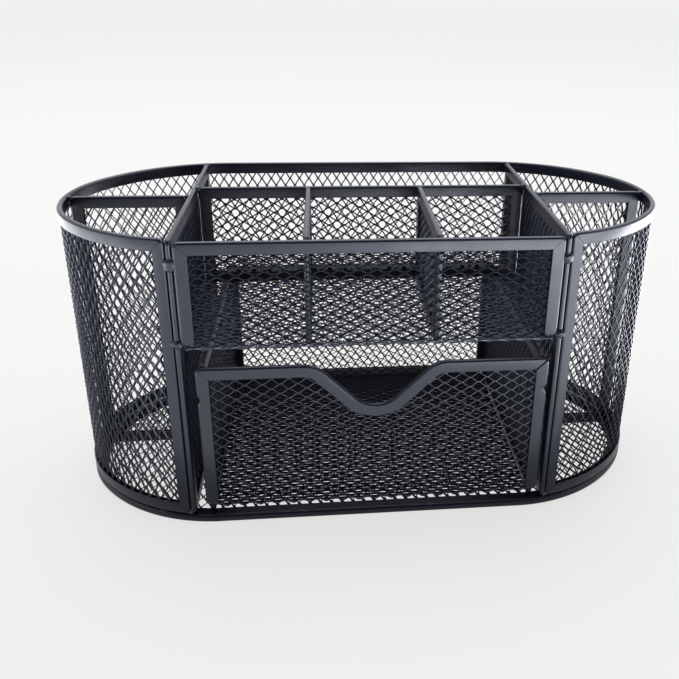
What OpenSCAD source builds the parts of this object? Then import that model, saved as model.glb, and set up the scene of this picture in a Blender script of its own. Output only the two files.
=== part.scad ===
// Desk organizer of expanded metal mesh: a shell with two rounded ends, a shallow
// tray with three compartments over one sliding drawer, a rear compartment and
// two compartments in each end. Every mesh panel is bound with folded channel.
// Origin: middle of the footprint, on the surface it stands on. Front is -Y.

/* [Overall] */
// Width over both rounded ends
organizer_w = 222; // [186:1:270]
// Depth from the front edge to the back
organizer_d = 96; // [80:1:118]
// Height to the top of the rim
organizer_h = 111; // [93:1:135]
// Length of each rounded end along X
end_l = 55.5; // [50:0.5:60]
// How much tighter the nose is than a half circle
nose_drop = 7; // [5:0.5:9]

/* [Sheet and channel] */
// Thickness of a mesh sheet over its strands
mesh_t = 0.8; // [0.5:0.1:0.9]
// Thickness of the folded channel over both flanges
strip_t = 2; // [1.6:0.1:2.4]
// Width of the channel flange over the mesh
strip_w = 4.5; // [3.5:0.25:5.5]
// Width of the channel on the two front posts
post_w = 4; // [3:0.25:5]
// Thickness of the channel's folded edge
fold_t = 0.5; // [0.3:0.1:0.7]
// Outer radius at the corners of a bound panel
corner_r = 2; // [1:0.25:3]
// Free space between a sheet and the groove it sits in
groove_gap = 0.1; // [0.05:0.05:0.15]
// Free space between two pieces that are welded side by side
weld_gap = 0.3; // [0.2:0.05:0.5]

/* [Base] */
// Height of the channel round the base
base_rim_h = 3; // [2.4:0.2:4]
// Gap between the base channel and the channel of the shell
seam_gap = 0.5; // [0.3:0.1:0.8]

/* [Tray] */
// Clear width between the two partitions
bay_w = 128.6; // [110:0.2:150]
// How far the straight tray front stands out past the rounded shell at its corners
tray_bow = 0.6; // [0:0.1:1]
// How far the top of the tray front stays below the rim
tray_drop = 1; // [0:0.1:3]
// Height of the underside of the tray floor
tray_z = 70; // [60:1:80]
// Inner radius of the bend from the tray front to its floor
tray_bend_r = 2.5; // [1.5:0.5:4]
// Distance of the tray's back wall behind the middle of the organizer
tray_back_y = 11.4; // [0:0.2:20]
// Distance of each tray divider from the middle
tray_divider_x = 21.9; // [16:0.1:28]

/* [End compartments] */
// Place of the end dividers behind the middle of the organizer
end_divider_y = 1; // [-10:0.5:10]

/* [Drawer] */
// Free space on each side of the drawer front
drawer_side_gap = 2.8; // [1.5:0.1:5]
// How far the loose drawer sits to the right of the middle
drawer_shift = 1; // [0:0.1:1]
// Free space between the drawer and the base channel
drawer_run_gap = 0.4; // [0.3:0.05:0.8]
// Free space between the drawer and the tray floor above it
drawer_head_gap = 5.5; // [2:0.5:9]
// Free space between the drawer and the back of the shell
drawer_back_gap = 1.2; // [0.8:0.1:3]
// How far the box stands in from the edges of the drawer front
drawer_box_inset = 1; // [0.5:0.1:2]
// Height of the drawer floor over the lower edge of its sides
drawer_floor_h = 2.6; // [1:0.1:4]
// Inner radius of the bends at the front and back of the drawer floor
drawer_bend_r = 1.2; // [0.6:0.1:3]

/* [Finger notch] */
// Distance from the middle to each shoulder of the notch
notch_half_w = 25; // [24.5:0.5:32]
// Depth of the notch
notch_depth = 16.5; // [12:0.5:16.5]
// Radius of the shoulders and of the bottom of the notch
notch_r = 10; // [8:0.5:10]
// Steepness of the notch's sloping sides in degrees
notch_angle = 45; // [40:1:50]
// Radius of the small nick in each side edge of the drawer front
nick_r = 1.1; // [0.5:0.1:1.5]
// Depth of the nicks below the top of the drawer front
nick_drop = 12.5; // [8:0.5:20]

/* [Welds] */
// Radius of a weld bead
bead_r = 1.5; // [1:0.1:1.6]

/* [Hidden] */
$fn = 96;

black = [0.05, 0.05, 0.07];
mesh_black = [0.12, 0.12, 0.15];
reach = 400;                              // longer than anything it cuts
cut = 1;                                  // how far a cutter passes a face
arc_steps = 10;                           // points along one arc of an outline

// Plan of the outer outline: straight, then a side arc, then a nose arc.
half_d = organizer_d / 2;
straight_x = organizer_w / 2 - end_l;
nose_r = half_d - nose_drop;
nose_x = organizer_w / 2 - nose_r;
side_r = (pow(end_l - nose_r, 2) + pow(half_d, 2) - pow(nose_r, 2)) / (2 * nose_drop);
side_y = half_d - side_r;
tangent_cos = (nose_x - straight_x) / (side_r - nose_r);

// Half depth of the outline, taken in by inset, at a distance x from the middle.
function plan_y(x, inset = 0) =
  abs(x) <= straight_x ? half_d - inset :
  abs(x) <= nose_x + (nose_r - inset) * tangent_cos
    ? side_y + sqrt(pow(side_r - inset, 2) - pow(abs(x) - straight_x, 2))
    : sqrt(pow(nose_r - inset, 2) - pow(abs(x) - nose_x, 2));
// Distance from the middle to the nose of the outline at a depth y near zero.
function plan_x(y, inset = 0) = nose_x + sqrt(pow(nose_r - inset, 2) - pow(y, 2));
function arc(centre, r, from, to) =
  [for (k = [0:arc_steps]) let (a = from + (to - from) * k / arc_steps)
    centre + r * [cos(a), sin(a)]];

// Channel and sheet
groove_t = mesh_t + 2 * groove_gap;
sheet_inset = fold_t + groove_gap;        // a sheet's edge inside its channel
mesh_in = (strip_t - mesh_t) / 2;         // outer face of the shell's mesh
groove_in = (strip_t - groove_t) / 2;

// Heights
shell_z = base_rim_h + seam_gap;
frame_top = organizer_h - weld_gap;
frame_z = base_rim_h + weld_gap;
tray_floor_top = tray_z + mesh_t;

// Partitions stand at both sides of the bay, just inside the posts.
partition_x = bay_w / 2 + strip_t / 2;
post_x = bay_w / 2 + strip_t + weld_gap;
partition_front = -plan_y(partition_x);
partition_back = plan_y(partition_x + strip_t / 2, strip_t) - weld_gap;
partition_l = partition_back - partition_front;

// Tray
tray_half_w = bay_w / 2 - weld_gap;
tray_front_top = organizer_h - tray_drop;
tray_front = -plan_y(tray_half_w) - tray_bow;
tray_back_limit = plan_y(tray_half_w, mesh_in + mesh_t) - groove_gap;
divider_front = tray_front + strip_t + groove_gap;
divider_back = tray_back_y - strip_t / 2 - groove_gap;

// Drawer
drawer_half_w = bay_w / 2 - drawer_side_gap;
drawer_z = base_rim_h + drawer_run_gap;
drawer_top = tray_z - drawer_head_gap;
drawer_h = drawer_top - drawer_z;
box_half_w = drawer_half_w - drawer_box_inset;
drawer_back = plan_y(drawer_half_w, strip_t) - drawer_back_gap;
drawer_floor = drawer_z + drawer_floor_h;
drawer_bend_top = drawer_floor + mesh_t + drawer_bend_r;
side_front = tray_front + strip_t + groove_gap;
side_back = drawer_back - strip_t - groove_gap;

// Notch: the flat between the two bottom arcs, from the slope of its sides
notch_run = (notch_depth - 2 * notch_r * (1 - cos(notch_angle))) / tan(notch_angle);
notch_flat = notch_half_w - 2 * notch_r * sin(notch_angle) - notch_run;

// ---- Outlines and common pieces ----

// Outer outline of the organizer, taken in by inset on all sides.
module plan(inset = 0) {
  square([2 * straight_x, organizer_d - 2 * inset], center = true);
  for (side = [0, 1]) mirror([side, 0]) {
    translate([nose_x, 0]) circle(nose_r - inset);
    for (front = [0, 1]) mirror([0, front]) intersection() {
      translate([straight_x, side_y]) circle(side_r - inset);
      translate([straight_x, -cut])
        square([nose_x + (nose_r - inset) * tangent_cos - straight_x, half_d + cut]);
    }
  }
}

// Wall that follows the outline between two insets, open across the front.
module wall(from, to, height, open_x) {
  linear_extrude(height) difference() {
    plan(from);
    plan(to);
    translate([-open_x, -organizer_d]) square([2 * open_x, organizer_d]);
  }
}

// Flat outline w by h with round corners, lower left at the origin.
module rounded(w, h, r) {
  translate([r, 0]) square([w - 2 * r, h]);
  translate([0, r]) square([w, h - 2 * r]);
  for (x = [r, w - r], y = [r, h - r]) translate([x, y]) circle(r);
}

// Channel bound round all four sides of a panel that stands in the XZ plane.
module frame_xz(w, h) {
  rotate([90, 0, 0]) difference() {
    translate([0, 0, -strip_t / 2]) linear_extrude(strip_t) difference() {
      rounded(w, h, corner_r);
      translate([strip_w, strip_w]) square([w - 2 * strip_w, h - 2 * strip_w]);
    }
    translate([fold_t, fold_t, -groove_t / 2])
      cube([w - 2 * fold_t, h - 2 * fold_t, groove_t]);
  }
}

// Mesh sheet of the same panel, its edges inside the channel.
module sheet_xz(w, h) {
  translate([sheet_inset, -mesh_t / 2, sheet_inset])
    cube([w - 2 * sheet_inset, mesh_t, h - 2 * sheet_inset]);
}

// Upper outer corner of the drawer front: round, or square once inset past its radius.
function front_corner(side, inset, from, to) = inset < corner_r
  ? arc([side * (drawer_half_w - corner_r), drawer_top - corner_r], corner_r - inset, from, to)
  : [[side * (drawer_half_w - inset), drawer_top - inset]];
// Upper edge of the drawer front, from right to left, taken in by inset.
function front_edge(inset) = let (t = drawer_top, r = notch_r) concat(
  front_corner(1, inset, 0, 90),
  arc([notch_half_w, t - r], r - inset, 90, 90 + notch_angle),
  arc([notch_flat, t - notch_depth + r], r + inset, notch_angle - 90, -90),
  arc([-notch_flat, t - notch_depth + r], r + inset, -90, -90 - notch_angle),
  arc([-notch_half_w, t - r], r - inset, 90 - notch_angle, 90),
  front_corner(-1, inset, 90, 180));

// Outline of the drawer front in the XZ plane, taken in by inset, from bottom up.
module drawer_front_outline(inset, bottom) {
  polygon(concat([[drawer_half_w - inset, bottom]], front_edge(inset),
                 [[inset - drawer_half_w, bottom]]));
}

// ---- Base ----

module base_mesh() {
  color(mesh_black) translate([0, 0, (base_rim_h - mesh_t) / 2])
    linear_extrude(mesh_t) plan(sheet_inset);
}

module base_rim() {
  color(black) difference() {
    linear_extrude(base_rim_h) difference() {
      plan();
      plan(strip_w);
    }
    translate([0, 0, (base_rim_h - groove_t) / 2]) linear_extrude(groove_t) plan(fold_t);
  }
}

// ---- Shell ----

module shell_mesh() {
  color(mesh_black) translate([0, 0, shell_z + sheet_inset])
    wall(mesh_in, mesh_in + mesh_t, organizer_h - shell_z - 2 * sheet_inset,
         post_x + sheet_inset);
}

// Channel along the upper or lower edge of the shell, between the two posts.
module shell_rim(z, groove_z) {
  color(black) difference() {
    translate([0, 0, z]) wall(0, strip_t, strip_w, post_x + post_w + groove_gap);
    translate([0, 0, groove_z])
      wall(groove_in, groove_in + groove_t, strip_w, post_x);
  }
}

module shell_top_rim() shell_rim(organizer_h - strip_w, organizer_h - strip_w - fold_t);

module shell_bottom_rim() shell_rim(shell_z, shell_z + fold_t);

module front_post_right() {
  color(black) translate([0, 0, shell_z]) intersection() {
    difference() {
      wall(0, strip_t, organizer_h - shell_z, post_x);
      translate([0, 0, fold_t])
        wall(groove_in, groove_in + groove_t, organizer_h - shell_z - 2 * fold_t,
             post_x + fold_t);
    }
    translate([post_x - cut, -organizer_d, 0])
      cube([post_w + cut, organizer_d, organizer_h]);
  }
}

module front_post_left() mirror([1, 0, 0]) front_post_right();

// ---- Partitions, from the front posts to the back of the shell ----

module partition_place(side) {
  translate([side * partition_x, partition_front, frame_z]) rotate([0, 0, 90]) children();
}

module partition_mesh(side) {
  color(mesh_black) partition_place(side) sheet_xz(partition_l, frame_top - frame_z);
}

module partition_frame(side) {
  color(black) partition_place(side) frame_xz(partition_l, frame_top - frame_z);
}

// ---- Dividers across the two ends ----

end_divider_from = partition_x + strip_t / 2 + weld_gap;
end_divider_w = plan_x(abs(end_divider_y) + strip_t / 2, strip_t) - weld_gap
  - end_divider_from;

module end_divider_place(side) {
  mirror([side < 0 ? 1 : 0, 0, 0])
    translate([end_divider_from, end_divider_y, frame_z]) children();
}

module end_divider_mesh(side) {
  color(mesh_black) end_divider_place(side) sheet_xz(end_divider_w, frame_top - frame_z);
}

module end_divider_frame(side) {
  color(black) end_divider_place(side) frame_xz(end_divider_w, frame_top - frame_z);
}

// ---- Tray ----

// One sheet: the front panel, bent at the bottom into the floor, which runs
// back under the tray's back wall to the shell and carries the rear compartment.
module tray_sheet() {
  front_in = tray_front + mesh_in;
  color(mesh_black) intersection() {
    translate([0, front_in, tray_z]) rotate([90, 0, 90])
      translate([0, 0, sheet_inset - tray_half_w])
        linear_extrude(2 * (tray_half_w - sheet_inset)) difference() {
          rounded(reach, reach, tray_bend_r + mesh_t);
          translate([mesh_t, mesh_t]) rounded(reach, reach, tray_bend_r);
        }
    translate([-reach / 2, front_in - cut, tray_z - cut])
      cube([reach, tray_back_limit - front_in + cut,
            tray_front_top - sheet_inset - tray_z + cut]);
  }
}

// Channel over the top and down both sides of the tray front.
module tray_front_trim() {
  bottom = tray_floor_top + tray_bend_r;
  h = tray_front_top - bottom;
  color(black) translate([-tray_half_w, tray_front + strip_t / 2, bottom])
    rotate([90, 0, 0]) difference() {
      translate([0, 0, -strip_t / 2]) linear_extrude(strip_t) difference() {
        rounded(2 * tray_half_w, h, corner_r);
        translate([strip_w, -cut])
          square([2 * (tray_half_w - strip_w), h - strip_w + cut]);
      }
      translate([fold_t, -cut, -groove_t / 2])
        cube([2 * (tray_half_w - fold_t), h - fold_t + cut, groove_t]);
    }
}

module tray_back_place() {
  translate([-tray_half_w, tray_back_y, tray_floor_top + groove_gap]) children();
}

module tray_back_mesh() {
  color(mesh_black) tray_back_place()
    sheet_xz(2 * tray_half_w, frame_top - tray_floor_top - groove_gap);
}

module tray_back_frame() {
  color(black) tray_back_place()
    frame_xz(2 * tray_half_w, frame_top - tray_floor_top - groove_gap);
}

module tray_divider_place(side) {
  translate([side * tray_divider_x, divider_front, tray_floor_top + groove_gap])
    rotate([0, 0, 90]) children();
}

module tray_divider_mesh(side) {
  color(mesh_black) tray_divider_place(side)
    sheet_xz(divider_back - divider_front, frame_top - tray_floor_top - groove_gap);
}

module tray_divider_frame(side) {
  color(black) tray_divider_place(side)
    frame_xz(divider_back - divider_front, frame_top - tray_floor_top - groove_gap);
}

// ---- Drawer ----

module drawer_place() {
  translate([drawer_shift, 0, 0]) children();
}

// One sheet: front, floor and back, with the notch cut in the front.
module drawer_sheet() {
  front_in = tray_front + mesh_in;
  back_in = drawer_back - mesh_in;
  floor_half_w = box_half_w - strip_t - groove_gap;
  color(mesh_black) drawer_place() {
    // front wall down to the bends
    difference() {
      translate([0, front_in + mesh_t, 0]) rotate([90, 0, 0]) linear_extrude(mesh_t)
        drawer_front_outline(sheet_inset, drawer_bend_top);
      for (side = [-1, 1])
        translate([side * drawer_half_w, front_in + mesh_t, drawer_top - nick_drop])
          rotate([90, 0, 0]) cylinder(h = 3 * strip_t, r = nick_r + sheet_inset, center = true);
    }
    // floor with the bend at each end, and the back wall
    translate([-floor_half_w, front_in, drawer_floor]) rotate([90, 0, 90])
      linear_extrude(2 * floor_half_w) intersection() {
        difference() {
          rounded(back_in - front_in, reach, drawer_bend_r + mesh_t);
          translate([mesh_t, mesh_t])
            rounded(back_in - front_in - 2 * mesh_t, reach, drawer_bend_r);
        }
        union() {
          square([back_in - front_in, drawer_bend_top - drawer_floor]);
          translate([half_d, 0]) square([organizer_d, drawer_top - sheet_inset - drawer_floor]);
        }
      }
  }
}

// Channel over the notched top and down both sides of the drawer front.
module drawer_front_trim() {
  front = tray_front + strip_t / 2;
  color(black) drawer_place() difference() {
    translate([0, front, 0]) rotate([90, 0, 0]) difference() {
      translate([0, 0, -strip_t / 2]) linear_extrude(strip_t) difference() {
        drawer_front_outline(0, drawer_bend_top);
        drawer_front_outline(strip_w, drawer_bend_top - cut);
      }
      translate([0, 0, -groove_t / 2]) linear_extrude(groove_t)
        drawer_front_outline(fold_t, drawer_bend_top - cut);
    }
    for (side = [-1, 1])
      translate([side * drawer_half_w, front, drawer_top - nick_drop])
        rotate([90, 0, 0]) cylinder(h = 2 * strip_t, r = nick_r, center = true);
  }
}

// Channel over the top and down both sides of the drawer's back wall.
module drawer_back_trim() {
  h = drawer_top - drawer_bend_top;
  color(black) drawer_place()
    translate([-box_half_w, drawer_back - strip_t / 2, drawer_bend_top])
      rotate([90, 0, 0]) difference() {
        translate([0, 0, -strip_t / 2]) linear_extrude(strip_t) difference() {
          rounded(2 * box_half_w, h, corner_r);
          translate([strip_w, -cut]) square([2 * (box_half_w - strip_w), h - strip_w + cut]);
        }
        translate([fold_t, -cut, -groove_t / 2])
          cube([2 * (box_half_w - fold_t), h - fold_t + cut, groove_t]);
      }
}

module drawer_side_place(side) {
  drawer_place() translate([side * (box_half_w - strip_t / 2), side_front, drawer_z])
    rotate([0, 0, 90]) children();
}

module drawer_side_mesh(side) {
  color(mesh_black) drawer_side_place(side) sheet_xz(side_back - side_front, drawer_h);
}

module drawer_side_frame(side) {
  color(black) drawer_side_place(side) frame_xz(side_back - side_front, drawer_h);
}

// ---- Weld beads: one ball in each seam that holds two pieces together ----

post_seam_x = (tray_half_w + post_x) / 2;
post_seam_y = tray_front + bead_r + groove_gap;
upper_weld_z = organizer_h - 2 * strip_w;
base_weld_x = post_x + 2 * strip_w;
bead_top = frame_top;
bead_spots = [
  for (s = [-1, 1]) each [
    // tray front to the posts, high and low
    [s * post_seam_x, post_seam_y, upper_weld_z],
    [s * post_seam_x, post_seam_y, tray_z + strip_w],
    // shell to the base, front and back
    [s * base_weld_x, -plan_y(base_weld_x) + strip_t, base_rim_h],
    [s * straight_x, half_d - strip_t, base_rim_h],
    // partition to the back of the shell
    [s * partition_x, partition_back, bead_top],
    // tray's back wall to the partition
    [s * tray_half_w, tray_back_y, bead_top],
    // tray dividers to the back wall and to the tray front
    [s * tray_divider_x, divider_back, bead_top],
    [s * tray_divider_x, divider_front, bead_top],
    // end divider to the partition and to the shell
    [s * end_divider_from, end_divider_y, bead_top],
    [s * (end_divider_from + end_divider_w), end_divider_y, bead_top]
  ]
];

module weld_beads() {
  color(black) for (spot = bead_spots) translate(spot) bead();
}

// A bead with its crown kept just under the rim.
module bead() {
  translate([0, 0, -bead_r + weld_gap]) sphere(bead_r);
}

base_mesh();
base_rim();
shell_mesh();
shell_top_rim();
shell_bottom_rim();
front_post_left();
front_post_right();
partition_mesh(-1);  // partition_mesh_left
partition_mesh(1);  // partition_mesh_right
partition_frame(-1);  // partition_frame_left
partition_frame(1);  // partition_frame_right
end_divider_mesh(-1);  // end_divider_mesh_left
end_divider_mesh(1);  // end_divider_mesh_right
end_divider_frame(-1);  // end_divider_frame_left
end_divider_frame(1);  // end_divider_frame_right
tray_sheet();
tray_front_trim();
tray_back_mesh();
tray_back_frame();
tray_divider_mesh(-1);  // tray_divider_mesh_left
tray_divider_mesh(1);  // tray_divider_mesh_right
tray_divider_frame(-1);  // tray_divider_frame_left
tray_divider_frame(1);  // tray_divider_frame_right
drawer_sheet();
drawer_front_trim();
drawer_back_trim();
drawer_side_mesh(-1);  // drawer_side_mesh_left
drawer_side_mesh(1);  // drawer_side_mesh_right
drawer_side_frame(-1);  // drawer_side_frame_left
drawer_side_frame(1);  // drawer_side_frame_right
weld_beads();
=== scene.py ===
"""Desk organizer of expanded steel mesh, every panel bound in folded channel and powder coated black:
a base, a shell with two rounded ends, partitions, a tray and a drawer that slides out to the front.
"""

import math

import bpy
import numpy as np
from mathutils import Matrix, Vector


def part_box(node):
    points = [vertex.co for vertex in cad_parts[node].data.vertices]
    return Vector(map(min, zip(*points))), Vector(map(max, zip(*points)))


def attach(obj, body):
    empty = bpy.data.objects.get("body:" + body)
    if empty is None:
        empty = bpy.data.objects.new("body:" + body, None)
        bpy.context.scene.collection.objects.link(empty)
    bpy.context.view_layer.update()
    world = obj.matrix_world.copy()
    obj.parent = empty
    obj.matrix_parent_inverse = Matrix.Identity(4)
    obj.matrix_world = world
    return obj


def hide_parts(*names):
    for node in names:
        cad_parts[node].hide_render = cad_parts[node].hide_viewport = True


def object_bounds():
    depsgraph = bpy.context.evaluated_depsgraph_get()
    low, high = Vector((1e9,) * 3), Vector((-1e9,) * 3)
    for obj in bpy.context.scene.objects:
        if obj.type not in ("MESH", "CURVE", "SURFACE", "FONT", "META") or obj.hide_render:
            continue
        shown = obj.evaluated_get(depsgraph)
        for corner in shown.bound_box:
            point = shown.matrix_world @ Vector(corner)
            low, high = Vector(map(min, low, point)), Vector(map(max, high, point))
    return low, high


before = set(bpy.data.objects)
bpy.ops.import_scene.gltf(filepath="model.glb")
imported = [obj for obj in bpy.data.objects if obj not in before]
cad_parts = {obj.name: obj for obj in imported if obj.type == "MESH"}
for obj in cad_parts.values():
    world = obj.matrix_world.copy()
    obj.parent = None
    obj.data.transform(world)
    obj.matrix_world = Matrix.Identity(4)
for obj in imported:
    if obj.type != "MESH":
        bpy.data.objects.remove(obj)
cad_low, cad_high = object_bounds()

# ---- Channel round the base ----
# A strip of thin sheet steel folded over the edge of the floor mesh and rolled to the oval plan.
# The organizer stands on it. Its plan is made of a straight front and back, a wide arc at each
# side of them and a tighter arc round each nose.

mm = 0.001
rim_low, rim_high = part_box("base_rim")
rail_low, rail_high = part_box("shell_top_rim")
post_low, post_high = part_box("front_post_right")
channel_face = rail_high.z - rail_low.z  # width of the channel's flanges
channel_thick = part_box("partition_frame_left")[1].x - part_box("partition_frame_left")[0].x
corner_round = 2 * mm  # outer rounding where two channels meet
end_length = 55.5 * mm  # each rounded end, along the width
nose_drop = 7 * mm  # how much tighter the nose is than half the depth


def oval_arcs(low, high):
    """Arcs (centre x, centre y, radius, from, to in degrees) of the oval plan inside a box, counter
    clockwise from the middle of the front. The wide arc is the one that touches both the straight side
    and the nose arc."""
    half_width, half_depth = (high.x - low.x) / 2, (high.y - low.y) / 2
    straight = half_width - end_length
    nose = half_depth - nose_drop
    nose_x = half_width - nose
    wide = ((end_length - nose) ** 2 + half_depth**2 - nose**2) / (2 * nose_drop)
    wide_y = half_depth - wide
    meet = math.degrees(math.acos((nose_x - straight) / (wide - nose)))
    return [
        (straight, -wide_y, wide, -90, -meet),
        (nose_x, 0, nose, -meet, meet),
        (straight, wide_y, wide, meet, 90),
        (-straight, wide_y, wide, 90, 180 - meet),
        (-nose_x, 0, nose, 180 - meet, 180 + meet),
        (-straight, -wide_y, wide, 180 + meet, 270),
    ]


class Trace:
    """A path through arcs, with the straight lines between them. At a distance along it, the place is
    read off the points by linear interpolation, and so is the normal, which points to the right of the
    way."""

    def __init__(self, arcs, start=None, end=None, step=0.7 * mm):
        points, normals = [], []
        for x, y, radius, first, last in arcs:
            count = max(3, int(abs(math.radians(last - first)) * radius / step) + 1)
            turn = np.radians(np.linspace(first, last, count))
            away = np.stack([np.cos(turn), np.sin(turn)], 1)
            points.append(np.array([x, y]) + radius * away)
            normals.append(away if last > first else -away)
        if start is not None:
            points.insert(0, np.array([start]))
            normals.insert(0, normals[0][:1])
        if end is not None:
            points.append(np.array([end]))
            normals.append(normals[-1][-1:])
        self.points = np.concatenate(points)
        self.normals = np.concatenate(normals)
        steps = np.linalg.norm(np.diff(self.points, axis=0), axis=1)
        self.reach = np.concatenate([[0], np.cumsum(steps)])
        self.length = self.reach[-1]

    def at(self, distance):
        place = [np.interp(distance, self.reach, self.points[:, k]) for k in (0, 1)]
        normal = [np.interp(distance, self.reach, self.normals[:, k]) for k in (0, 1)]
        size = np.hypot(*normal)
        return place[0], place[1], normal[0] / size, normal[1] / size


def channel_outline(face, thick, wall=0.5 * mm):
    """Folded channel cut across, as (distance in from the folded edge, distance from mid thickness): two
    quarter circles round the fold, flat flanges, small bevels at their lips and a groove between them."""
    half = thick / 2
    fold = min(0.9 * half, 1.0 * mm)
    bevel = 0.12 * mm
    turn = np.radians(np.linspace(90, 0, 5))
    inward = fold - fold * np.cos(turn)
    outward = half - fold + fold * np.sin(turn)
    lips = [(face, half - wall), (face, half - bevel), (face - bevel, half)]
    upper = lips + list(zip(inward, outward))
    lower = [(i, -n) for i, n in reversed(upper)]
    groove = [(wall + bevel, wall - half), (wall + bevel, half - wall)]
    return np.array(upper + lower + groove).T


def skin(rings, closed=False):
    """Faces over a row of closed outlines (rows, points, 3): four-sided ones between each row and the
    next, and one across each end unless the last row runs on into the first."""
    rows, count = rings.shape[:2]
    grid = np.arange(rows * count).reshape(rows, count)
    here, there = (grid, np.roll(grid, -1, 0)) if closed else (grid[:-1], grid[1:])
    sides = np.stack([here, np.roll(here, -1, 1), np.roll(there, -1, 1), there], -1).reshape(-1, 4)
    ends = [] if closed else [grid[:1, ::-1], grid[-1:]]
    return rings.reshape(-1, 3), [sides, *ends]


def facing_out(points, faces):
    """The same closed skin, turned round if the volume that its faces enclose comes out negative."""
    volume = 0.0
    for face in faces:
        for k in range(1, face.shape[1] - 1):
            a, b, c = points[face[:, 0]], points[face[:, k]], points[face[:, k + 1]]
            volume += np.einsum("ij,ij->", a, np.cross(b, c))
    return faces if volume > 0 else [face[:, ::-1] for face in faces]


def piece(name, skins, paint, body, node, crease=40):
    """One object from closed skins, painted, riding on its body in place of its CAD node. Edges sharper
    than crease degrees stay sharp."""
    points, faces, count = [], [], 0
    for own_points, own_faces in skins:
        faces += [face + count for face in facing_out(own_points, own_faces)]
        points.append(own_points)
        count += len(own_points)
    mesh = bpy.data.meshes.new(name)
    mesh.vertices.add(count)
    mesh.vertices.foreach_set("co", np.concatenate(points).astype(np.float32).ravel())
    corners = np.concatenate([face.ravel() for face in faces])
    sizes = np.concatenate([np.full(len(face), face.shape[1]) for face in faces])
    mesh.loops.add(len(corners))
    mesh.loops.foreach_set("vertex_index", corners.astype(np.int32))
    mesh.polygons.add(len(sizes))
    mesh.polygons.foreach_set("loop_start", (np.cumsum(sizes) - sizes).astype(np.int32))
    mesh.update(calc_edges=True)
    mesh.shade_smooth()
    mesh.set_sharp_from_angle(angle=math.radians(crease))
    mesh.materials.append(paint)
    thing = bpy.data.objects.new(name, mesh)
    bpy.context.scene.collection.objects.link(thing)
    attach(thing, body)
    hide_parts(node)
    return thing


def powder_coat(name, tint, shade, gloss, shine, grain):
    """Black powder coat: two near blacks mixed by a soft noise, roughness that drifts about gloss, and
    the fine orange peel of baked powder as bump, over slow ripples of the thin sheet under it."""
    paint = bpy.data.materials.new(name)
    paint.use_nodes = True
    nodes, links = paint.node_tree.nodes, paint.node_tree.links
    shader = nodes["Principled BSDF"]
    shader.inputs["IOR"].default_value = 1.52
    shader.inputs["Specular IOR Level"].default_value = shine
    shader.inputs["Specular Tint"].default_value = (0.91, 0.95, 1.0, 1)
    where = nodes.new("ShaderNodeTexCoord")

    def noise(scale, detail):
        pattern = nodes.new("ShaderNodeTexNoise")
        pattern.inputs["Scale"].default_value = scale
        pattern.inputs["Detail"].default_value = detail
        links.new(where.outputs["Object"], pattern.inputs["Vector"])
        return pattern.outputs["Fac"]

    cloud = noise(scale=90, detail=3)
    mix = nodes.new("ShaderNodeMix")
    mix.data_type = "RGBA"
    mix.inputs["A"].default_value = (*tint, 1)
    mix.inputs["B"].default_value = (*shade, 1)
    links.new(cloud, mix.inputs["Factor"])
    links.new(mix.outputs["Result"], shader.inputs["Base Color"])

    drift = nodes.new("ShaderNodeMapRange")
    drift.inputs["To Min"].default_value = gloss - 0.05
    drift.inputs["To Max"].default_value = gloss + 0.07
    links.new(noise(scale=260, detail=4), drift.inputs["Value"])
    links.new(drift.outputs["Result"], shader.inputs["Roughness"])

    peel = nodes.new("ShaderNodeBump")
    peel.inputs["Strength"].default_value = 0.5
    peel.inputs["Distance"].default_value = 0.02 * mm
    links.new(noise(scale=grain, detail=2), peel.inputs["Height"])
    ripple = nodes.new("ShaderNodeBump")
    ripple.inputs["Strength"].default_value = 0.35
    ripple.inputs["Distance"].default_value = 0.12 * mm
    links.new(noise(scale=160, detail=1), ripple.inputs["Height"])
    links.new(peel.outputs["Normal"], ripple.inputs["Normal"])
    links.new(ripple.outputs["Normal"], shader.inputs["Normal"])
    return paint


channel_paint = powder_coat(
    "channel_coat",
    tint=(0.0035, 0.0046, 0.014),
    shade=(0.005, 0.0062, 0.018),
    gloss=0.33,
    shine=0.5,
    grain=2600,
)

rim_path = Trace(oval_arcs(rim_low, rim_high))
rim_inset, rim_depth = channel_outline(channel_face, rim_high.z - rim_low.z)
rim_stations = 240  # outlines of the channel round the plan
rim_steps = np.linspace(0, rim_path.length, rim_stations, endpoint=False)[:, None]
rim_x, rim_y, rim_nx, rim_ny = rim_path.at(rim_steps)
rim_rings = np.stack(
    [
        rim_x - rim_nx * rim_inset,
        rim_y - rim_ny * rim_inset,
        (rim_low.z + rim_high.z) / 2 + rim_depth + 0 * rim_x,
    ],
    -1,
)
rim_skin = skin(rim_rings, closed=True)
piece("base_channel", [rim_skin], channel_paint, "root", "base_rim")

# ---- Floor mesh ----
# Expanded steel: a sheet slit in staggered rows and pulled open, so that the strips between the
# slits become zigzag strands, joined side by side at the knuckles and leaning over where they twist.

bite = 0.06 * mm  # how far joined strands run into each other
strand_bevel = 0.14  # at each edge of a strand, as a share of its breadth
# Each kind of mesh, in millimetres: long and short pitch of its diamonds, breadth and thickness of a
# strand with its coat, length of the knuckle that joins two strands; and in degrees how far the
# strands turn out of the plane of the mesh.
shell_holes = (6.2, 4.05, 0.74, 0.34, 0.6, 43)
panel_holes = (6.1, 3.7, 0.80, 0.36, 0.8, 43)


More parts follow.
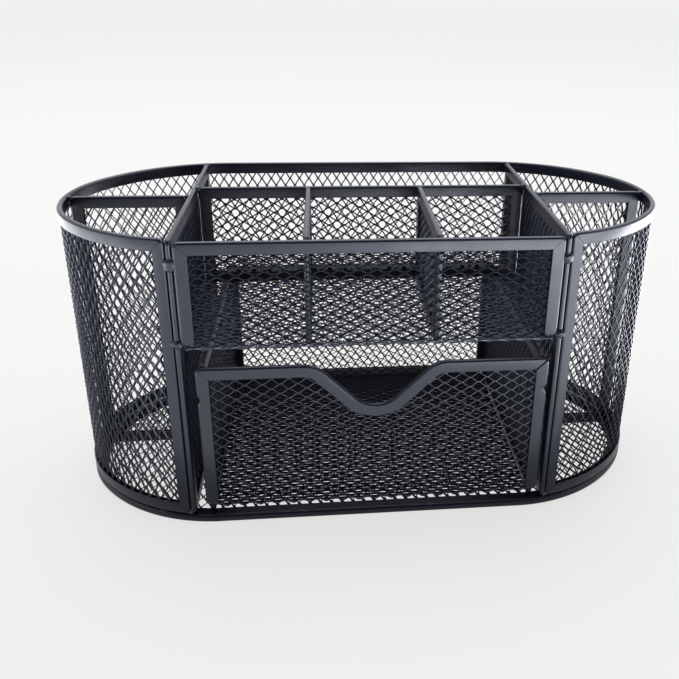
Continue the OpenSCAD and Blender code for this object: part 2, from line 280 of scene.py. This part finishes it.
def expanded(place, long_way, short_way, holes, lean=1, inside=None):
    """Expanded mesh over a field from long_way[0] to long_way[1] along the diamonds' length and over
    short_way across it. Strand k runs along the middle of the k-th half pitch; it swings to the knuckles
    on each side in turn, half a pitch later than its neighbour. Its cut, a flat hexagon, leans to the
    side given by lean, and its middle moves out of the plane against the swing, so that two strands
    meet edge to edge at a knuckle. A strand that crosses the end of the field is cut off there.
    inside(along, across) is true where there is mesh."""
    long_pitch, short_pitch, strand_face, strand_thick, knuckle = (size * mm for size in holes[:5])
    strand_lean = math.radians(holes[5])
    rows = int((short_way[1] - short_way[0]) / (short_pitch / 2))
    spare = (short_way[1] - short_way[0] - rows * short_pitch / 2) / 2
    row = np.arange(rows)[:, None]
    beats = np.array([-knuckle, knuckle, long_pitch - knuckle, long_pitch + knuckle]) / 2
    turns = np.arange(-1, int((long_way[1] - long_way[0]) / long_pitch) + 2)[:, None] * long_pitch
    swing = np.tile([-1.0, -1.0, 1.0, 1.0], len(turns))
    along = long_way[0] + (turns + beats).ravel()[None, :] + (row % 2) * long_pitch / 2
    breadth = strand_face * math.cos(strand_lean)
    swing_width = (short_pitch / 2 - breadth) / 2 + bite
    swing = swing + 0 * along
    for limit, ahead in ((long_way[0], -1), (long_way[1], 1)):
        next_along, next_swing = np.roll(along, ahead, 1), np.roll(swing, ahead, 1)
        cut = (limit - along) * (limit - next_along) < 0
        cut &= (along < limit) if ahead < 0 else (along > limit)
        share = (limit - along) / (next_along - along)
        swing = np.where(cut, swing + share * (next_swing - swing), swing)
        along = np.where(cut, limit, along)
    across = short_way[0] + spare + (row + 0.5) * short_pitch / 2 + swing_width * swing
    out = -lean * strand_face / 2 * math.sin(strand_lean) * swing

    kept = (along >= long_way[0]) & (along <= long_way[1])
    if inside is not None:
        kept &= inside(along, across)
    held = kept[:, :-1] & kept[:, 1:]

    flat = 0.5 - strand_bevel
    broad = strand_face * np.array([-0.5, -flat, flat, 0.5, flat, -flat])
    deep = strand_thick * np.array([0, -0.5, -0.5, 0, 0.5, 0.5])
    step_across = broad * math.cos(strand_lean) - lean * deep * math.sin(strand_lean)
    step_out = lean * broad * math.sin(strand_lean) + deep * math.cos(strand_lean)
    shape = (*along.shape, len(broad))
    points = place(
        np.broadcast_to(along[..., None], shape),
        across[..., None] + step_across,
        out[..., None] + step_out,
    )

    number = np.arange(points.shape[0] * points.shape[1] * points.shape[2]).reshape(shape)
    here, there = number[:, :-1][held], number[:, 1:][held]
    sides = np.stack([here, np.roll(here, -1, 1), np.roll(there, -1, 1), there], -1).reshape(-1, 4)
    edge = np.zeros((rows, 1), bool)
    before, after = np.hstack([edge, held]), np.hstack([held, edge])
    first, last = number[after & ~before][:, ::-1], number[before & ~after]
    used, renumbered = np.unique(
        np.concatenate([sides.ravel(), first.ravel(), last.ravel()]), return_inverse=True
    )
    sides, first, last = (
        part.reshape(like.shape)
        for part, like in zip(
            np.split(renumbered, [sides.size, sides.size + first.size]), (sides, first, last)
        )
    )
    return points.reshape(-1, 3)[used], [sides, first, last]


mesh_paint = powder_coat(
    "mesh_coat",
    tint=(0.002, 0.0032, 0.015),
    shade=(0.003, 0.0042, 0.018),
    gloss=0.33,
    shine=0.6,
    grain=3200,
)


def in_oval(low, high, inset):
    """Test for points in the oval plan of a box, kept inset away from its edge: half the depth at a
    distance from the middle is read off the plan's own points."""
    plan = Trace(oval_arcs(low, high))
    quarter = (plan.points[:, 0] >= 0) & (plan.points[:, 1] >= 0)
    outline = plan.points[quarter] - inset * plan.normals[quarter]
    outline = outline[np.argsort(outline[:, 0])]
    return lambda y, x: np.abs(y) < np.interp(
        np.abs(x), outline[:, 0], outline[:, 1], left=outline[0, 1], right=0
    )


tucked = 1.2 * mm  # how far a mesh stops inside the outer edge of its channel
floor_low, floor_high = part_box("base_mesh")
floor_level = (floor_low.z + floor_high.z) / 2
base_mesh = expanded(
    lambda y, x, out: np.stack([x, y, floor_level + out], -1),
    (floor_low.y, floor_high.y),
    (floor_low.x + tucked, floor_high.x - tucked),
    shell_holes,
    inside=in_oval(rim_low, rim_high, tucked),
)
piece("base_floor_mesh", [base_mesh], mesh_paint, "root", "base_mesh")

# ---- Shell ----
# One long panel of mesh bent round the plan from post to post. Channel is folded over its four
# edges: the rim, the foot and the two upright posts at the front, mitred where they meet.

mitre_stations = np.radians([45, 43, 30, 15, 0])[:, None]
round_stations = np.radians([5, 30, 60, 90])[:, None]
spread = 0.3  # how far the fan of a mitre opens past the inner corner
mitre_thin = 0.86  # thickness left at the very edge of a mitre
round_thin = 0.35  # thickness lost at the tip of a round end
end_clear = 0.3 * mm  # between the rows of an end and the plain ones after it
mitre_gap = 0.03  # millimetres that a channel stops short of its mitre


def channel_end(kind, inset, face, gap):
    """Rows of points at one end of a channel, as (distance from the end, inset, share of thickness).
    A mitre fans round the outer corner and runs at 45 degrees from there to the inner one, with a
    slight bevel. A round end draws both edges in along quarter circles."""
    if kind == "mitre":
        near = np.maximum(corner_round - inset, 0)
        far = np.maximum(inset - corner_round, 0)
        fan = 1 + spread * (1 - mitre_stations / mitre_stations[0])
        along = corner_round - near * np.sin(mitre_stations) + far * fan + gap
        across = corner_round - near * np.cos(mitre_stations) + far
        bevel = np.where(mitre_stations == mitre_stations[0], mitre_thin, 1.0)
        return along, across, bevel + 0 * along
    if kind == "round":
        tip = face / 3
        drawn = tip * (1 - np.sin(round_stations))
        along = tip * (1 - np.cos(round_stations)) + 0 * inset
        across = drawn + inset * (face - 2 * drawn) / face
        return along, across, 1 - round_thin * drawn / tip + 0 * along
    return 0 * inset[None], inset[None], 1 + 0 * inset[None]


def channel(
    place,
    length,
    face,
    thick,
    ends=("mitre", "mitre"),
    gaps=(mitre_gap, mitre_gap),
    step=6 * mm,
):
    """Skin of one channel. place(along, inset, depth) gives the point for a distance along the channel,
    a distance in from its folded edge and a distance from mid thickness. gaps, in millimetres, are how
    far each end stops short of its neighbour."""
    inset, depth = channel_outline(face, thick)
    start = channel_end(ends[0], inset, face, gaps[0] * mm)
    finish = channel_end(ends[1], inset, face, gaps[1] * mm)
    clear = face * (1 + spread) + end_clear
    count = max(2, int((length - 2 * clear) / step) + 1)
    middle = np.linspace(clear, length - clear, count)[:, None] + 0 * inset
    along = np.vstack([start[0], middle, length - finish[0][::-1]])
    across = np.vstack([start[1], inset + 0 * middle, finish[1][::-1]])
    thickness = np.vstack([start[2], 1 + 0 * middle, finish[2][::-1]])
    return skin(place(along, across, depth * thickness))


def bound(place, width, height, thick, faces=(1, 1, 1, 1), step=6 * mm):
    """Four mitred channels round a panel, from its lower left corner: bottom, right, top, left. faces
    gives each channel's flange as a share of channel_face, and 0 leaves that side out."""
    legs = [
        (lambda a, b, n: place(a, b, n), width),
        (lambda a, b, n: place(width - b, a, n), height),
        (lambda a, b, n: place(width - a, height - b, n), width),
        (lambda a, b, n: place(b, height - a, n), height),
    ]
    return [
        channel(way, length, channel_face * share, thick, step=step)
        for (way, length), share in zip(legs, faces)
        if share
    ]


shell_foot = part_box("shell_bottom_rim")[0].z
shell_height = rail_high.z - shell_foot
quarter_way = rim_path.length / 4
front_run = rim_path.reach < quarter_way
post_reach = np.interp(
    post_low.x, rim_path.points[front_run, 0], rim_path.reach[front_run]
)
shell_length = rim_path.length - 2 * post_reach


def on_shell(along, up, out):
    """A point of the shell from its distance along the plan, its height over the foot, and its distance
    out from the middle of the wall, which stands half a channel inside the plan."""
    x, y, nx, ny = rim_path.at(post_reach + along)
    away = out - channel_thick / 2
    return np.stack([x + nx * away, y + ny * away, shell_foot + up + 0 * x], -1)


shell_mesh = expanded(
    lambda up, along, out: on_shell(along, up, out),
    (tucked, shell_height - tucked),
    (tucked, shell_length - tucked),
    shell_holes,
    lean=-1,
)
piece("shell_wall_mesh", [shell_mesh], mesh_paint, "root", "shell_mesh")

# The shell's plan starts at the right post and ends at the left one.
post_share = (post_high.x - post_low.x) / channel_face
foot, last_post, rim, first_post = bound(
    on_shell,
    shell_length,
    shell_height,
    channel_thick,
    faces=(1, post_share, 1, post_share),
    step=2 * mm,
)
piece("shell_foot_channel", [foot], channel_paint, "root", "shell_bottom_rim")
piece("shell_rim_channel", [rim], channel_paint, "root", "shell_top_rim")
piece("post_channel_left", [last_post], channel_paint, "root", "front_post_left")
piece("post_channel_right", [first_post], channel_paint, "root", "front_post_right")

# ---- Partitions and end dividers ----
# Flat mesh panels, each bound on all four sides. The partitions run from the posts to the back and
# carry the tray; a divider crosses each rounded end.


def upright(frame_node, facing):
    """The plane of an upright bound panel: place(across, up, out) over its CAD frame's box, which runs
    along Y when facing is "x" and along X when it is "y"; and its width, height and thickness."""
    low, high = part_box(frame_node)
    middle = (low + high) / 2
    if facing == "x":
        return (
            lambda a, b, n: np.stack([middle.x + n + 0 * a, low.y + a + 0 * n, low.z + b + 0 * n], -1),
            high.y - low.y,
            high.z - low.z,
            high.x - low.x,
        )
    return (
        lambda a, b, n: np.stack([low.x + a + 0 * n, middle.y - n + 0 * a, low.z + b + 0 * n], -1),
        high.x - low.x,
        high.z - low.z,
        high.y - low.y,
    )


def bound_panel(title, node, facing, holes, upright_holes, lean, body="root"):
    """Mesh and channels of one flat panel. node holds {} where its CAD nodes say mesh and frame."""
    place, width, height, thick = upright(node.format("frame"), facing)
    if upright_holes:
        mesh = expanded(
            lambda up, across, out: place(across, up, out),
            (tucked, height - tucked),
            (tucked, width - tucked),
            holes,
            lean,
        )
    else:
        mesh = expanded(
            place, (tucked, width - tucked), (tucked, height - tucked), holes, lean
        )
    piece(title.format("mesh"), [mesh], mesh_paint, body, node.format("mesh"))
    piece(
        title.format("channel"),
        bound(place, width, height, thick),
        channel_paint,
        body,
        node.format("frame"),
    )


for side, lean in (("left", 1), ("right", -1)):
    bound_panel("partition_{}_" + side, "partition_{}_" + side, "x", shell_holes, True, lean)
    bound_panel("end_divider_{}_" + side, "end_divider_{}_" + side, "y", shell_holes, True, lean)

# ---- Tray ----
# One mesh sheet makes the tray's front and, bent back at the bottom, its floor, which runs on to the
# back of the shell under the rear compartment. The front is bound on top and down both sides.

tray_low, tray_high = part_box("tray_sheet")
front_low, front_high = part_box("tray_front_trim")
bend = 2.9 * mm  # radius of the bend, to the middle of the sheet
sheet_half = 0.4 * mm  # underside of a bent sheet to its middle
side_gap = 0.4 * mm  # between a bent sheet's side edge and the panel beside it
front_middle = (front_low.y + front_high.y) / 2
tray_floor_middle = tray_low.z + sheet_half

tray_holes = (6.1, 3.5, 0.62, 0.28, 0.9, 40)
# Short pitch on a bent sheet's floor, as a share of that on its front. It is fitted to how close the
# strands look there, and isn't known of the real sheet.
drawn_in = 0.79


def bent(turns, start, end, front, offset=0.0):
    """A sheet bent about X, seen from its side as a trace in the YZ plane: place(x, distance, out) and
    the sheet's length. Distances are as on the front: past the end of the front, which is front metres
    long, the real way along the sheet is only drawn_in times as far."""
    side = Trace(turns, start, end, step=0.3 * mm)

    def place(x, distance, out):
        y, z, ny, nz = side.at(np.where(distance < front, distance, front + (distance - front) * drawn_in))
        return np.stack([x + offset + 0 * y, y + ny * out, z + nz * out], -1)

    return place, front + (side.length - front) / drawn_in


tray_place, tray_length = bent(
    [(front_middle + bend, tray_floor_middle + bend, bend, 180, 270)],
    (front_middle, front_high.z - tucked),
    (tray_high.y, tray_floor_middle),
    front_high.z - tucked - tray_floor_middle - bend,
)
tray_half = (tray_high.x - tray_low.x) / 2 - side_gap
tray_mesh = expanded(
    tray_place, (-tray_half, tray_half), (0, tray_length - 0.2 * mm), tray_holes, lean=1
)
piece("tray_sheet_mesh", [tray_mesh], mesh_paint, "root", "tray_sheet")


def open_binding(low, high, foot, dent=None, gaps=(mitre_gap, mitre_gap)):
    """For a panel across the front or back that is bound on top and down both sides: the place function
    of its top channel, and its right and left channels, mitred above and with round ends at the foot.
    dent(distance from the top, inset) moves the sides' edges inwards, and gaps are the left and right
    ones."""
    width, middle, thick = high.x - low.x, (high.y + low.y) / 2, high.y - low.y

    def place(a, b, n):
        return np.stack([low.x + a + 0 * n, middle - n + 0 * a, high.z - b + 0 * n], -1)

    def side_inset(a, b):
        return b if dent is None else b + dent(a, b)

    drop = high.z - foot
    ends = ("mitre", "round")
    step = 6 * mm if dent is None else 0.6 * mm
    return place, [
        channel(
            lambda a, b, n: place(width - side_inset(a, b), a, n),
            drop,
            channel_face,
            thick,
            ends,
            (gaps[1], 0),
            step,
        ),
        channel(
            lambda a, b, n: place(side_inset(a, b), a, n), drop, channel_face, thick, ends, (gaps[0], 0), step
        ),
    ]


tray_front_place, tray_sides = open_binding(front_low, front_high, front_low.z)
tray_top = channel(
    tray_front_place, front_high.x - front_low.x, channel_face, front_high.y - front_low.y
)
piece(
    "tray_front_channel",
    [tray_top, *tray_sides],
    channel_paint,
    "root",
    "tray_front_trim",
)

bound_panel("tray_back_{}", "tray_back_{}", "y", panel_holes, False, 1)
for side, lean in (("left", 1), ("right", -1)):
    bound_panel("tray_divider_{}_" + side, "tray_divider_{}_" + side, "x", panel_holes, False, lean)

# ---- Drawer ----
# One mesh sheet bent up at both ends makes the drawer's front, floor and back, and two bound panels
# its sides. The channel over the front dips round the finger notch.

drawer_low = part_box("drawer_sheet")[0]
face_low, face_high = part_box("drawer_front_trim")
back_low, back_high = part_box("drawer_back_trim")
drawer_middle = (face_low.x + face_high.x) / 2
face_plane = (face_low.y + face_high.y) / 2
back_plane = (back_low.y + back_high.y) / 2
drawer_bend = 1.6 * mm  # radius of its bends, to the middle of the sheet
drawer_floor = drawer_low.z + sheet_half
notch_half = 25 * mm  # middle to shoulder
notch_depth = 16.5 * mm
notch_round = 10 * mm  # shoulders and bottom corners
notch_slope = 45  # degrees


def notch_arcs(top):
    """Arcs of the notched edge from right to left. The flat bottom is what is left of the half width
    after both arcs and the straight slope between them."""
    rise = notch_depth - 2 * notch_round * (1 - math.cos(math.radians(notch_slope)))
    run = rise / math.tan(math.radians(notch_slope))
    flat = notch_half - 2 * notch_round * math.sin(math.radians(notch_slope)) - run
    shoulder, bottom = top - notch_round, top - notch_depth + notch_round
    return [
        (drawer_middle + notch_half, shoulder, notch_round, 90, 90 + notch_slope),
        (drawer_middle + flat, bottom, notch_round, notch_slope - 90, -90),
        (drawer_middle - flat, bottom, notch_round, -90, -90 - notch_slope),
        (drawer_middle - notch_half, shoulder, notch_round, 90 - notch_slope, 90),
    ]


edge = Trace(
    notch_arcs(face_high.z), (face_high.x, face_high.z), (face_low.x, face_high.z), step=0.5 * mm
)


def on_edge(along, inset, depth):
    """A point of the notched channel: along the edge from the right corner, in from it, and through."""
    x, z, nx, nz = edge.at(along)
    return np.stack([x - nx * inset, face_plane + depth + 0 * x, z - nz * inset], -1)


nick_down = 12.5 * mm  # nicks in the side edges, below the top
nick_deep = 1.0 * mm
nick_long = 1.1 * mm  # from its middle to where it is about a third as deep
open_gap = 0.35  # millimetres; the mitre at the right of the drawer's front stands a little open


def nick(down, inset):
    """A small rounded dent in the outer edge, a bell curve along it that fades out across the flange."""
    bell = np.exp(-(((down - nick_down) / nick_long) ** 2))
    return nick_deep * bell * np.clip(1 - inset / channel_face, 0, 1)


_, face_sides = open_binding(
    face_low, face_high, face_low.z, dent=nick, gaps=(mitre_gap, open_gap)
)
face_top = channel(
    on_edge,
    edge.length,
    channel_face,
    face_high.y - face_low.y,
    gaps=(open_gap, mitre_gap),
    step=1.2 * mm,
)
piece(
    "drawer_front_channel",
    [face_top, *face_sides],
    channel_paint,
    "drawer",
    "drawer_front_trim",
)

drawer_holes = (6.05, 3.8, 0.90, 0.36, 0.8, 45)
front_drop = face_high.z - tucked - drawer_floor - drawer_bend  # distance down to the bend
drawer_place, drawer_length = bent(
    [
        (face_plane + drawer_bend, drawer_floor + drawer_bend, drawer_bend, 180, 270),
        (back_plane - drawer_bend, drawer_floor + drawer_bend, drawer_bend, 270, 360),
    ],
    (face_plane, face_high.z - tucked),
    (back_plane, back_high.z - tucked),
    front_drop,
    offset=drawer_middle,
)
back_rise = drawer_length - (back_high.z - tucked - drawer_floor - drawer_bend) / drawn_in
floor_half = (back_high.x - back_low.x) / 2 - side_gap


def in_drawer_sheet(x, distance):
    """True where the drawer's sheet is: below the notched edge on the front, between the side panels on
    the floor, and inside the channel on the back."""
    notch = np.interp(-(x + drawer_middle), -edge.points[:, 0], edge.points[:, 1])
    height = face_high.z - tucked - distance
    on_front = (distance < front_drop) & (height < notch - tucked)
    on_floor = (distance >= front_drop) & (distance <= back_rise) & (np.abs(x) < floor_half)
    on_back = (distance > back_rise) & (np.abs(x) < (back_high.x - back_low.x) / 2 - tucked)
    return on_front | on_floor | on_back


face_half = (face_high.x - face_low.x) / 2 - tucked
drawer_mesh = expanded(
    drawer_place,
    (-face_half, face_half),
    (0, drawer_length),
    drawer_holes,
    lean=-1,
    inside=in_drawer_sheet,
)
piece("drawer_sheet_mesh", [drawer_mesh], mesh_paint, "drawer", "drawer_sheet")

back_place, back_sides = open_binding(back_low, back_high, back_low.z)
back_top = channel(back_place, back_high.x - back_low.x, channel_face, back_high.y - back_low.y)
piece(
    "drawer_back_channel",
    [back_top, *back_sides],
    channel_paint,
    "drawer",
    "drawer_back_trim",
)
for side, lean in (("left", 1), ("right", -1)):
    bound_panel(
        "drawer_side_{}_" + side, "drawer_side_{}_" + side, "x", panel_holes, True, lean, "drawer"
    )

# ---- Weld beads ----
# Short runs of weld that hold the panels together, left as they cooled and painted over with the
# rest: lumpy beads, the ones in the front seams the largest.

weld_paint = powder_coat(
    "weld_coat",
    tint=(0.003, 0.004, 0.013),
    shade=(0.005, 0.0062, 0.018),
    gloss=0.4,
    shine=0.55,
    grain=1900,
)
divider_low, divider_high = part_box("tray_divider_frame_right")
partition_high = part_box("partition_frame_right")[1]
end_low, end_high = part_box("end_divider_frame_right")
tray_back_low, tray_back_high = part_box("tray_back_frame")
lump = np.random.default_rng(7)


def bead(centre, size):
    """A lump of weld: a ball drawn out by size along X, Y and Z, its radius swollen by a few slow waves
    of the angles round and along it, closed at both poles by one small face, and cut off flat where
    it would pass the organizer's overall size."""
    along = np.radians(np.linspace(8, 172, 9))[:, None]
    around = np.radians(np.arange(0, 360, 24))[None, :]
    waves = lump.uniform(0, 2 * math.pi, 4)
    swell = 1 + 0.13 * np.sin(2 * around + waves[0]) * np.sin(along)
    swell += 0.10 * np.sin(3 * around + waves[1]) * np.sin(along) ** 2
    swell += 0.09 * np.cos(3 * along + waves[2]) + 0.06 * np.sin(5 * along + 2 * around + waves[3])
    ball = np.stack(
        [
            np.sin(along) * np.cos(around) * size[0],
            np.sin(along) * np.sin(around) * size[1],
            np.cos(along) * size[2] + 0 * around,
        ],
        -1,
    )
    lumps = np.array(centre) + ball * swell[..., None]
    return skin(np.clip(lumps, np.array(cad_low), np.array(cad_high)))


seam_x = (front_high.x + post_low.x) / 2
seam_y = front_low.y + 1.6 * mm
rim_under = rail_high.z - 1.2 * mm
over_base = rim_high.z + 0.2 * mm
partition_x = partition_high.x - 1 * mm
foot_x = post_high.x + 5 * mm
foot_y = np.interp(foot_x, rim_path.points[front_run, 0], rim_path.points[front_run, 1])
back_x = 55.5 * mm  # where the straight back runs into the rounded end
divider_x = divider_low.x + 1 * mm
tray_back_y = (tray_back_low.y + tray_back_high.y) / 2
end_y = (end_low.y + end_high.y) / 2
beads = []
for way in (-1, 1):
    beads += [
        bead(
            (way * seam_x, seam_y, rail_high.z - 9 * mm),
            (2.5 * mm - way * 0.4 * mm, 1.9 * mm, 2.3 * mm),
        ),
        bead((way * seam_x, seam_y, tray_low.z + 3.7 * mm), (2.1 * mm, 1.8 * mm, 1.9 * mm)),
        bead((way * foot_x, foot_y + 1.7 * mm, over_base), (2.4 * mm, 1.3 * mm, 0.9 * mm)),
        bead((way * back_x, rim_high.y - 1.7 * mm, over_base), (2.6 * mm, 1.3 * mm, 0.9 * mm)),
        bead((way * partition_x, partition_high.y, rim_under), (1.5 * mm, 1.6 * mm, 1 * mm)),
        bead((way * front_high.x, tray_back_y, rim_under), (1.3 * mm,) * 3),
        bead((way * divider_x, divider_high.y, rim_under), (1.1 * mm, 1.4 * mm, 1.1 * mm)),
        bead((way * divider_x, divider_low.y, rim_under - 1 * mm), (1.1 * mm,) * 3),
        bead((way * end_low.x, end_y, rim_under), (1.4 * mm, 1.2 * mm, 1 * mm)),
        bead((way * end_high.x, end_y, rim_under), (1.4 * mm, 1.2 * mm, 1 * mm)),
    ]
piece("weld_bead_lumps", beads, weld_paint, "root", "weld_beads", crease=80)

# ---- Studio ----
# A wide pale table, an evenly bright room that is dark only in front and above the front, lights
# lying flat on the table in front and at both sides, strongest to the right, and a large one
# overhead, a little behind.

table = bpy.data.meshes.new("table")
reach = 6.0
table.from_pydata(
    [(-reach, -reach, 0), (reach, -reach, 0), (reach, reach, 0), (-reach, reach, 0)], [], [(0, 1, 2, 3)]
)
table_paint = bpy.data.materials.new("table_white")
table_paint.use_nodes = True
table_shader = table_paint.node_tree.nodes["Principled BSDF"]
table_shader.inputs["Base Color"].default_value = (0.07, 0.07, 0.07, 1)
table_shader.inputs["Roughness"].default_value = 0.8
table_shader.inputs["Specular IOR Level"].default_value = 0.1
table_shader.inputs["Emission Color"].default_value = (1, 1, 0.995, 1)
table_shader.inputs["Emission Strength"].default_value = 0.74
table.materials.append(table_paint)
table_top = bpy.data.objects.new("table", table)
bpy.context.scene.collection.objects.link(table_top)

room = bpy.data.worlds.new("room")
room.use_nodes = True
bpy.context.scene.world = room
sky = room.node_tree.nodes
wires = room.node_tree.links
sky_colour = sky["Background"]
sky_colour.inputs["Color"].default_value = (1, 1, 1, 1)
sky_way = sky.new("ShaderNodeTexCoord")
to_back = sky.new("ShaderNodeVectorMath")
to_back.operation = "DOT_PRODUCT"
to_back.inputs[1].default_value = (0, 0.8, -0.6)
wires.new(sky_way.outputs["Generated"], to_back.inputs[0])
glow = sky.new("ShaderNodeMapRange")
glow.interpolation_type = "SMOOTHSTEP"
glow.inputs["From Min"].default_value = -0.9
glow.inputs["From Max"].default_value = -0.5
glow.inputs["To Min"].default_value = 0.05
glow.inputs["To Max"].default_value = 1.7
wires.new(to_back.outputs["Value"], glow.inputs["Value"])
wires.new(glow.outputs["Result"], sky_colour.inputs["Strength"])


def soft_light(name, place, aim, width, height, radiance):
    """A soft flat light of that width and height at place, facing aim, unseen by the camera. Its power
    is its brightness times its area times pi."""
    lamp = bpy.data.lights.new(name, "AREA")
    lamp.shape = "RECTANGLE"
    lamp.size = width
    lamp.size_y = height
    lamp.energy = radiance * width * height * math.pi
    holder = bpy.data.objects.new(name, lamp)
    holder.location = place
    holder.rotation_euler = (Vector(aim) - Vector(place)).to_track_quat("-Z", "Y").to_euler()
    holder.visible_camera = False
    bpy.context.scene.collection.objects.link(holder)


soft_light("overhead", (0, 0.35, 1.0), (0, 0.2, 0), 1.6, 1.1, 4)
over_table = 2 * mm
# Each light on the table: its left, right, front and back edges, and its brightness.
for name, left, right, front, back, radiance in (
    ("front_glow", -0.45, 0.03, -0.72, -0.28, 3),
    ("front_right_glow", 0.03, 0.80, -0.72, -0.30, 15),
    ("near_glow", -0.20, 0.11, -0.27, -0.08, 1.8),
    ("near_left_glow", -0.70, -0.20, -0.27, -0.08, 6),
    ("near_right_glow", 0.11, 0.70, -0.30, -0.10, 5),
    ("left_glow", -0.70, -0.17, -0.08, 0.30, 5),
    ("right_glow", 0.17, 0.70, -0.10, 0.30, 14),
):
    x, y = (left + right) / 2, (front + back) / 2
    soft_light(name, (x, y, over_table), (x, y, 1), right - left, back - front, radiance)

lens_data = bpy.data.cameras.new("lens")
lens_data.sensor_width = 36
lens_data.lens = 40.138
lens_data.shift_x = -0.0945
lens_data.shift_y = -0.1163
lens_data.clip_start = 0.01
lens = bpy.data.objects.new("lens", lens_data)
lens.location = (-0.01619, -0.27594, 0.19509)
lens.rotation_euler = [math.radians(a) for a in (68.058, -1.265, -5.944)]
bpy.context.scene.collection.objects.link(lens)
bpy.context.scene.camera = lens
bpy.context.scene.view_settings.view_transform = "Standard"
bpy.context.scene.view_settings.gamma = 0.8
